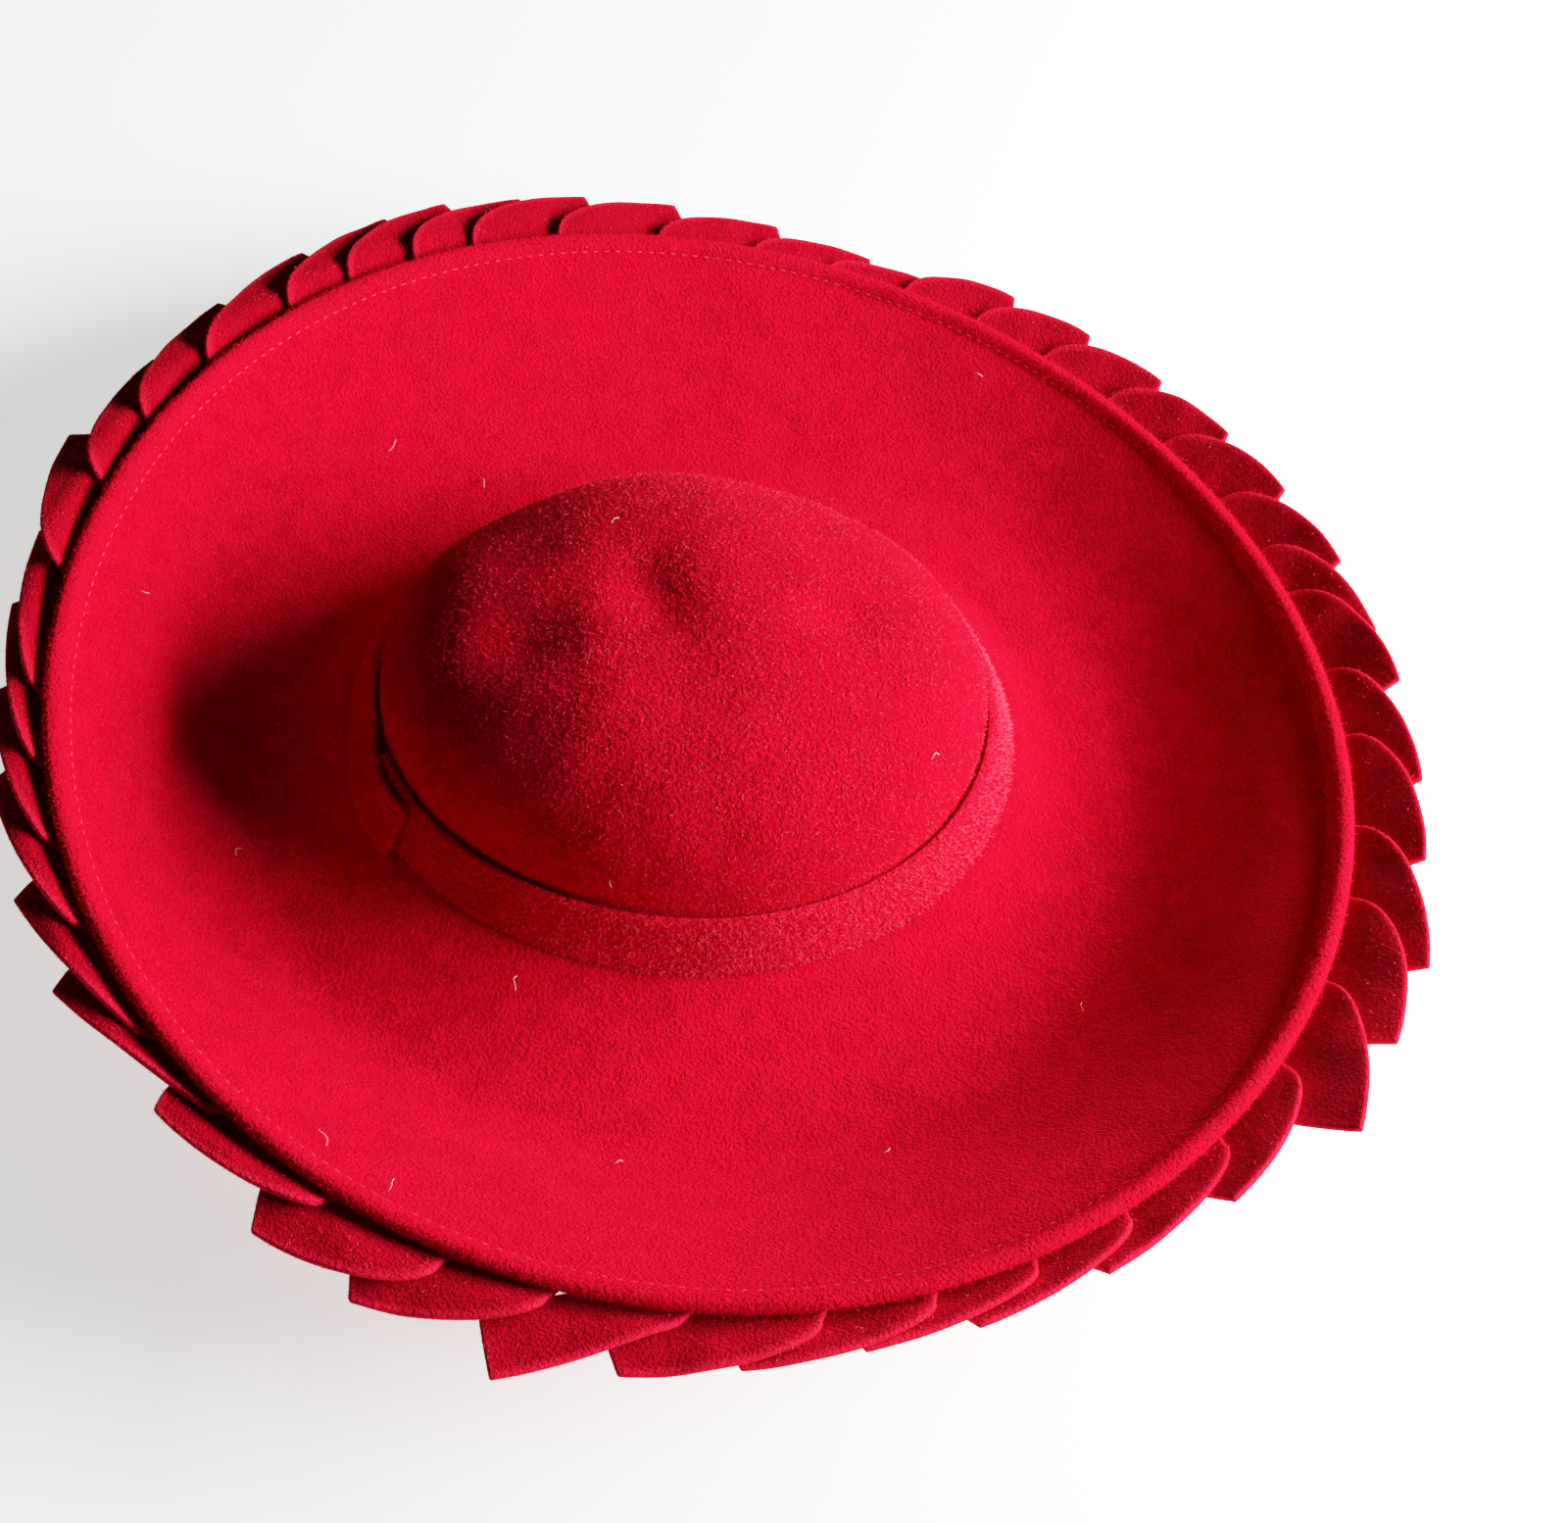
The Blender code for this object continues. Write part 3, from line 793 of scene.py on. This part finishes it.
def crown_surface(turn, share):
    """Outside of the crown with its dents and its soft unevenness."""
    point = crown_smooth(turn, share)
    inward = unit(np.array((0.0, 0.0, DENT_AIM * CROWN_TOP)) - point)
    fade = ease((CROWN_FOOT_SHARE - share) / DENT_FADE)
    push = (CRISP * dent_depth(point) + soft_waves(point, CROWN_WAVES)) * fade
    return point + inward * push[..., None]


def make_crown():
    """The crown as a felt wall with nap outside, open under the band."""
    turn = np.linspace(0.0, 2 * pi, CROWN_STATIONS, endpoint=False)[:, None]
    share = np.linspace(0.0, 1.0, CROWN_ROWS)[None, :]
    turn, share = np.broadcast_arrays(turn, share)
    crown = loft("crown_felt", crown_surface(turn, share) + CROWN_AT, True, False)
    for name in ("crown_nap", "crown_pale_nap"):
        nap(name, crown, "body_felt")
    wall = crown.modifiers.new("wall", "SOLIDIFY")
    wall.thickness = FELT
    wall.offset = -1.0
    settle_modifiers(crown)
    for vert in crown.data.vertices:
        vert.co.z = max(vert.co.z, BAND_FOOT)
    return dress(crown, CROWN_FELT, "body_felt", "crown")


# Band

BAND_STATIONS = 420
BAND_ROWS = (0.003, 0.006, 0.009, 0.012, 0.015)
# the cut edges are rounded off over this much, in these steps
BAND_EDGE = 0.0007
EDGE_STEPS = (0.0, 0.15, 0.5, 1.0)
BAND_SWOLLEN = 1.1
# turns past the strip's inner end at which its outer end climbs over it and stands off
LAP_FROM = 350.0
LAP_TURN = 10.0
LAP_OVER = 1.15
END_FROM = 360.0
END_TURN = 6.0
END_STAND_OFF = 0.0018
TOP_STAND_OFF = 0.0012
OUTER_SIDE = 0.0008
PUFF = 0.0004
PUFFS = 5
TOP_WAVE = 0.0005
TOP_WAVES = 3
TOP_WAVE_FROM = 0.012
TOP_WAVE_RUN = 0.008
# painted highlight along the band's top edge (strength, width) and at its outer end (strength,
# turns it grows over)
TOP_HIGHLIGHT = 0.55
TOP_HIGHLIGHT_WIDE = 0.0012
END_HIGHLIGHT = 0.8
END_HIGHLIGHT_TURN = 0.8


def make_band():
    """A cut strip round the crown's foot; its outer end laps the inner one."""
    total = 360.0 + BAND_LAP
    turned = np.linspace(0.0, total, BAND_STATIONS)[:, None]
    lap = ease((turned - LAP_FROM) / LAP_TURN)
    near = BAND_EDGE * np.array(EDGE_STEPS)
    rows = np.array(BAND_ROWS)
    up = np.concatenate((near, rows, BAND_WIDTH - near[::-1]))
    round_in = np.concatenate((near[::-1], 0 * rows, near))
    heights = np.concatenate((BAND_FOOT + up, BAND_FOOT + up[::-1]))[None, :]
    insets = np.concatenate((round_in, BAND_FELT * BAND_SWOLLEN - round_in[::-1]))[None, :]
    turn = np.radians(BAND_END_TURN - BAND_LAP + turned)
    risen = (heights - BAND_FOOT) / BAND_WIDTH
    puff = PUFF * np.sin(PUFFS * turn + 1.0) * np.sin(risen * pi)
    stand_off = TOP_STAND_OFF * ease(risen) + END_STAND_OFF * ease((turned - END_FROM) / END_TURN)
    outward = (BAND_FELT + GAP) * LAP_OVER * lap + puff * (insets < OUTER_SIDE) + stand_off
    point = band_line(turn + 0 * heights, heights + 0 * turn, insets - outward)
    top_wave = TOP_WAVE * np.sin(TOP_WAVES * turn + 0.6)
    point[..., 2] += top_wave * ease((heights - TOP_WAVE_FROM) / TOP_WAVE_RUN)
    # painted highlight: the band's top edge and its outer end are marked paler
    top_row = np.exp(-((heights - BAND_TOP) / TOP_HIGHLIGHT_WIDE) ** 2)
    end_row = ease((turned - total + 1.0) / END_HIGHLIGHT_TURN)
    cut = np.clip(TOP_HIGHLIGHT * top_row + END_HIGHLIGHT * end_row, 0.0, 1.0)
    band = loft("band_felt", point + CROWN_AT, False, True, caps=True, cut=cut)
    outer = loft("band_outer", point[:, :len(up)] + CROWN_AT, False, False)
    for name in ("band_nap", "band_pale_nap"):
        nap(name, outer, "band_felt")
    bpy.data.objects.remove(outer)
    dress(band, BAND_STRIP_FELT, "band_felt", "band")
    return band


# Leaves

LEAF_ROWS = 44
LEAF_COLUMNS = 20
FLARE_PARTS = 8
# the cut outline: root, then a bow from the rim to the tip
ROOT_SHARE = 1.0 / 7.0
ROOT_IN = 0.85
LEAD = 0.09
BOW_POWER = 1.35
RIM_TUCK = 0.0022
# shapes that handling gave the leaves: a curled edge, a hollow, lifted and raised sides
LEAF_CURL = 0.0020
CURL_RANGE = (0.2, 1.5)
CURL_DOWN = 0.4
LEAF_CUP = 0.0009
CUP_RANGE = (0.2, 1.0)
LEAF_LIFT = 0.0034
LIFT_RUN = 0.011
LEAF_RAISE = 0.0036
RAISE_RUN = 0.024
FREE_FROM = 0.45
FREE_RUN = 0.5
SIDE_EASE = 0.6
LEAF_WAVE = 0.0005
LEAF_WAVE_SIZE = 0.014
LEAF_WAVE_SEED = 60
LEAF_WAVE_RUN = 0.006
# where the painted highlight along each leaf's outer side and tip starts, and how far it takes to
# grow
SIDE_HIGHLIGHT = (0.9, 0.1)
TIP_HIGHLIGHT = (0.97, 0.03)
LEAF_BEVEL = 0.0007
LEAF_CHANCE = 41


def leaf_sheet(turn, past):
    """Surface the leaves follow: under the brim, then out past the rim."""
    span = brim_span(turn)
    point, along, _ = brim_middle(turn, span + np.minimum(past, 0.0))
    out = unit((rim_edge(turn) - head_edge(turn)) * np.array((1.0, 1.0, 0.0)))
    start = np.arcsin(along[..., 2])
    end = np.radians(round_table(np.degrees(turn), 4))
    beyond = np.maximum(past, 0.0)
    for part in range(FLARE_PARTS):
        gone = beyond * (part + 0.5) / FLARE_PARTS
        pitch = start + (end - start) * ease(gone / FLARE_RUN)
        step = out * np.cos(pitch)[..., None]
        step[..., 2] += np.sin(pitch)
        point = point + step * (beyond / FLARE_PARTS)[..., None]
    return point


def leaf_flat(long_share, wide_share, run, reach, fullness):
    """The leaf as cut: distance along the rim and distance past it."""
    lead = LEAD * run * fullness
    share = np.maximum(0.0, long_share - ROOT_SHARE) / (1.0 - ROOT_SHARE)
    share = share ** BOW_POWER
    bow = np.sqrt(1.0 - (1.0 - share) ** 2)
    outer_x = share * (run + lead) - lead
    outer_y = reach * (fullness * bow + (1.0 - fullness) * share) + RIM_TUCK * (1.0 - share) ** 3
    rooted = np.clip(long_share / ROOT_SHARE, 0.0, 1.0)
    root_x = -LEAF_ROOT_START * run + (LEAF_ROOT_START * run - lead) * rooted
    root_y = RIM_TUCK * rooted - ROOT_IN * LEAF_ROOT * (1 - rooted)
    outer_x = np.where(rooted < 1, root_x, outer_x)
    outer_y = np.where(rooted < 1, root_y, outer_y)
    slant = radians(LEAF_END_PITCH)
    end_x = run + LEAF_END * cos(slant)
    end_y = reach - LEAF_END * sin(slant)
    inner_x = LEAF_ROOT_END * run + (end_x - LEAF_ROOT_END * run) * long_share
    inner_y = -LEAF_ROOT + (end_y + LEAF_ROOT) * long_share
    x = inner_x + (outer_x - inner_x) * wide_share
    y = inner_y + (outer_y - inner_y) * wide_share
    return x, y


def side_ease(across, start):
    """0 to 1 as a turn's cosine passes start, so along one side of the hat."""
    return ease((across - start) / SIDE_EASE)


def leaf_handled(turn, long_share, wide_share, y, curl, cup):
    """Height that curling, cupping and lifting give a leaf."""
    across = np.cos(np.radians(turn))
    free = ease((long_share - FREE_FROM) / FREE_RUN)
    upward = side_ease(across, -0.1) - CURL_DOWN
    shape = curl * free * upward * wide_share ** 2 - cup * free * np.sin(wide_share * pi)
    lifted = side_ease(-across, 0.2) * ease(y / LIFT_RUN)
    raised = side_ease(across, 0.1) * ease(y / RAISE_RUN)
    return shape + LEAF_LIFT * lifted + LEAF_RAISE * raised


def finish_leaf(name, node, point, cut):
    """A leaf's grid made a rounded felt wall."""
    leaf = loft(name, point + CROWN_AT, False, False, cut=cut)
    wall = leaf.modifiers.new("wall", "SOLIDIFY")
    wall.thickness = LEAF_FELT
    wall.offset = 0.0
    edge = leaf.modifiers.new("edge", "BEVEL")
    edge.width = LEAF_BEVEL
    edge.segments = 2
    edge.angle_limit = radians(50)
    settle_modifiers(leaf)
    dress(leaf, SHADED_LEAF_FELT, "leaf_felt", node)
    return leaf


def make_leaves():
    """The ring of leaves, each seated under the hem and lying over its neighbour."""
    starts = FIRST_LEAF - np.concatenate(((0.0,), np.cumsum(LEAF_TURNS) * 360 / sum(LEAF_TURNS)))
    count = len(LEAF_TURNS)
    turns = np.concatenate((starts[:-1] + 360, starts[:-1], starts - 360))
    numbers = np.arange(-count, 2 * count + 1)
    rim_radius = 0.5 * (RIM_X + RIM_Y)
    chance = np.random.default_rng(LEAF_CHANCE)
    long_share, wide_share = np.meshgrid(
        np.linspace(0, 1, LEAF_ROWS), np.linspace(0, 1, LEAF_COLUMNS), indexing="ij")
    # painted highlight along each leaf's outer side and its tip
    side_highlight = ease((wide_share - SIDE_HIGHLIGHT[0]) / SIDE_HIGHLIGHT[1])
    tip_highlight = ease((long_share - TIP_HIGHLIGHT[0]) / TIP_HIGHLIGHT[1])
    cut = np.minimum(side_highlight + tip_highlight, 1.0)
    leaves = []

    def passed(turn):
        """How many leaves have started by this turn."""
        return np.interp(-turn, -turns, numbers)

    for number in range(count):
        start = starts[number]
        run = LEAF_RUN * float(round_table(start, 1))
        reach = LEAF_REACH * float(round_table(start, 2))
        fullness = float(round_table(start, 3))
        curl = LEAF_CURL * chance.uniform(*CURL_RANGE)
        cup = LEAF_CUP * chance.uniform(*CUP_RANGE)
        x, y = leaf_flat(long_share, wide_share, run, reach, fullness)
        turn = start - np.degrees(x / rim_radius)
        seated = passed(start + np.degrees(LEAF_SEAT * run / rim_radius))
        drop = LEAF_DROP * round_table(turn, 5) * (passed(turn) - seated)
        up = brim_middle(np.radians(turn), brim_span(np.radians(turn)))[2]
        seat = (HEM / 2 + GAP + LEAF_FELT / 2) / up[..., 2]
        point = leaf_sheet(np.radians(turn), y)
        shape = leaf_handled(turn, long_share, wide_share, y, curl, cup)
        waves = LEAF_WAVE * soft_noise(point, LEAF_WAVE_SIZE, LEAF_WAVE_SEED + number)
        point[..., 2] += shape + waves * ease(y / LEAF_WAVE_RUN) - seat - drop
        label = "%02d" % (number + 1)
        leaves.append(finish_leaf("leaf_felt_" + label, "leaf_" + label, point, cut))
    leaf_nap(leaves)


def leaf_nap(leaves):
    """One field of fibres over all leaves, both sides and edges."""
    bm = bmesh.new()
    for leaf in leaves:
        bm.from_mesh(leaf.data)
    mesh = bpy.data.meshes.new("leaf_skin")
    bm.to_mesh(mesh)
    bm.free()
    skin = mesh_object("leaf_skin", mesh)
    for name in ("leaf_nap_1", "leaf_nap_2", "leaf_nap_3", "leaf_pale_nap"):
        nap(name, skin, "leaf_felt")
    bpy.data.objects.remove(skin)


# Loose hairs

# columns: 0 on the brim or 1 on the crown, turn, share of the way, length, heading
HAIRS = (
    (0, 139.0, 0.56, 0.0060, 60.0),
    (0, 129.0, 0.34, 0.0045, -50.0),
    (0, 250.0, 0.16, 0.0050, 80.0),
    (0, 250.0, 0.90, 0.0045, 60.0),
    (0, 243.0, 0.88, 0.0060, 110.0),
    (0, 268.0, 0.54, 0.0030, 10.0),
    (0, 297.0, 0.55, 0.0035, 40.0),
    (0, 206.0, 0.50, 0.0030, 75.0),
    (0, 64.0, 0.84, 0.0035, 150.0),
    (0, 328.0, 0.50, 0.0030, 100.0),
    (0, 178.0, 0.80, 0.0040, 20.0),
    (1, 336.0, 0.54, 0.0030, 30.0),
    (1, 262.0, 0.72, 0.0035, 120.0),
    (1, 120.0, 0.30, 0.0030, 70.0),
)
HAIR_POINTS = 10
# thicker than real lint, so that it shows
HAIR_RADIUS = 0.0001
HAIR_ABOVE = 0.0008
HAIR_ARCH = 0.0012
# how far a hair swings aside, as a share of its length, and how fast
HAIR_SWING = 0.16
HAIR_WIND = 4.4


def make_lint():
    """A few pale hairs caught on the nap."""
    along = np.linspace(0.0, 1.0, HAIR_POINTS)
    lines = []
    for on_crown, turn, share, length, heading in HAIRS:
        turn = np.radians(np.array([turn]))
        if on_crown:
            middle = crown_surface(turn, np.array([share]))[0]
        else:
            middle = brim_surface(turn, share * brim_span(turn), 1.0)[0]
        ahead = np.array((cos(radians(heading)), sin(radians(heading)), 0.0))
        beside = np.array((-ahead[1], ahead[0], 0.0))
        line = middle + ahead * (length * (along - 0.5))[:, None]
        swing = length * HAIR_SWING * np.sin(along * HAIR_WIND + heading)
        line = line + beside * swing[:, None]
        line[:, 2] += HAIR_ABOVE + HAIR_ARCH * np.sin(along * pi)
        lines.append(line + CROWN_AT)
    hairs = line_object("lint_hairs", lines, False)
    run_flow(hairs, HAIR_FLOW, {"Radius": HAIR_RADIUS})
    return dress(hairs, LINT, "body_felt")


# Camera, light and floor

CAMERA_TURN = 0.17
CAMERA_RISE = 53.88
CAMERA_ROLL = 6.065
CAMERA_AWAY = 0.7875
CAMERA_AIM = (0.035, -0.0033, 0.0)
CAMERA_LENS = 53.74
FLOOR_SIZE = 6.0
FLOOR_GLOW = 0.78
SKY_LIGHT = 0.012
KEY_AIM = (-0.011, 0.006, 0.0)
KEY_AT = (0.903, 0.105, 0.391)
KEY_WIDTH = 1.05
KEY_HEIGHT = 0.3
KEY_POWER = 59.0
# the camera's shoulder: light is shown as 1 - exp(-rate * light)
SHOULDER_WHITE = 3.0
SHOULDER_RATE = 1.35
SHOULDER_STEPS = (0.05, 0.10, 0.18, 0.30, 0.45, 0.65, 0.85)


def aim(item, at, target):
    """Puts an item at one point, looking at another."""
    item.location = at
    item.rotation_euler = (Vector(target) - Vector(at)).to_track_quat("-Z", "Y").to_euler()


def make_camera():
    """The photo's viewpoint: seen from the front and above, a little rolled."""
    turn, rise, roll = radians(CAMERA_TURN), radians(CAMERA_RISE), radians(CAMERA_ROLL)
    target = Vector(CAMERA_AIM) + Vector(CROWN_AT)
    back = Vector((sin(turn) * cos(rise), -cos(turn) * cos(rise), sin(rise)))
    right = (-back).cross(Vector((0, 0, 1))).normalized()
    up = right.cross(-back)
    right, up = cos(roll) * right + sin(roll) * up, cos(roll) * up - sin(roll) * right
    camera = bpy.data.objects.new("camera", bpy.data.cameras.new("camera"))
    bpy.context.scene.collection.objects.link(camera)
    turned = Matrix((right, up, back)).transposed().to_4x4()
    camera.matrix_world = Matrix.Translation(target + back * CAMERA_AWAY) @ turned
    camera.data.sensor_width = 36.0
    camera.data.lens = CAMERA_LENS
    bpy.context.scene.camera = camera


def make_light(name, at, target, width, height, power, colour):
    """A flat soft light at one point, turned to another."""
    lamp = bpy.data.lights.new(name, "AREA")
    lamp.shape = "RECTANGLE"
    lamp.size = width
    lamp.size_y = height
    lamp.energy = power
    lamp.color = linear(colour)[:3]
    item = bpy.data.objects.new(name, lamp)
    bpy.context.scene.collection.objects.link(item)
    aim(item, at, target)


def make_studio():
    """A glowing white paper floor, a faint sky and one wide soft light at the right."""
    bm = bmesh.new()
    bmesh.ops.create_grid(bm, x_segments=2, y_segments=2, size=FLOOR_SIZE)
    mesh = bpy.data.meshes.new("floor")
    bm.to_mesh(mesh)
    bm.free()
    floor = mesh_object("floor", mesh)
    paper = bpy.data.materials.new("white_paper_floor")
    paper.use_nodes = True
    shader = paper.node_tree.nodes["Principled BSDF"]
    shader.inputs["Base Color"].default_value = linear("#F4F4F4")
    shader.inputs["Roughness"].default_value = 0.9
    shader.inputs["Emission Color"].default_value = linear("#FFFFFF")
    shader.inputs["Emission Strength"].default_value = FLOOR_GLOW
    mesh.materials.append(paper)
    world = bpy.data.worlds.new("studio")
    world.use_nodes = True
    sky = world.node_tree.nodes["Background"]
    sky.inputs["Color"].default_value = linear("#FFFFFF")
    sky.inputs["Strength"].default_value = SKY_LIGHT
    bpy.context.scene.world = world
    make_light("key", KEY_AT, KEY_AIM, KEY_WIDTH, KEY_HEIGHT, KEY_POWER, "#FFFFFF")


def make_exposure():
    """A camera's soft shoulder, so that the brightest felt keeps its grain."""
    view = bpy.context.scene.view_settings
    view.view_transform = "Standard"
    view.use_curve_mapping = True
    curves = view.curve_mapping
    curves.white_level = (SHOULDER_WHITE, SHOULDER_WHITE, SHOULDER_WHITE)
    points = curves.curves[3].points
    for share in SHOULDER_STEPS:
        shown = 1.0 - exp(-SHOULDER_RATE * SHOULDER_WHITE * share)
        points.new(share, shown)
    points[-1].location = (1.0, 1.0)
    curves.update()


make_brim()
make_crown()
make_band()
make_leaves()
make_lint()
make_camera()
make_studio()
make_exposure()
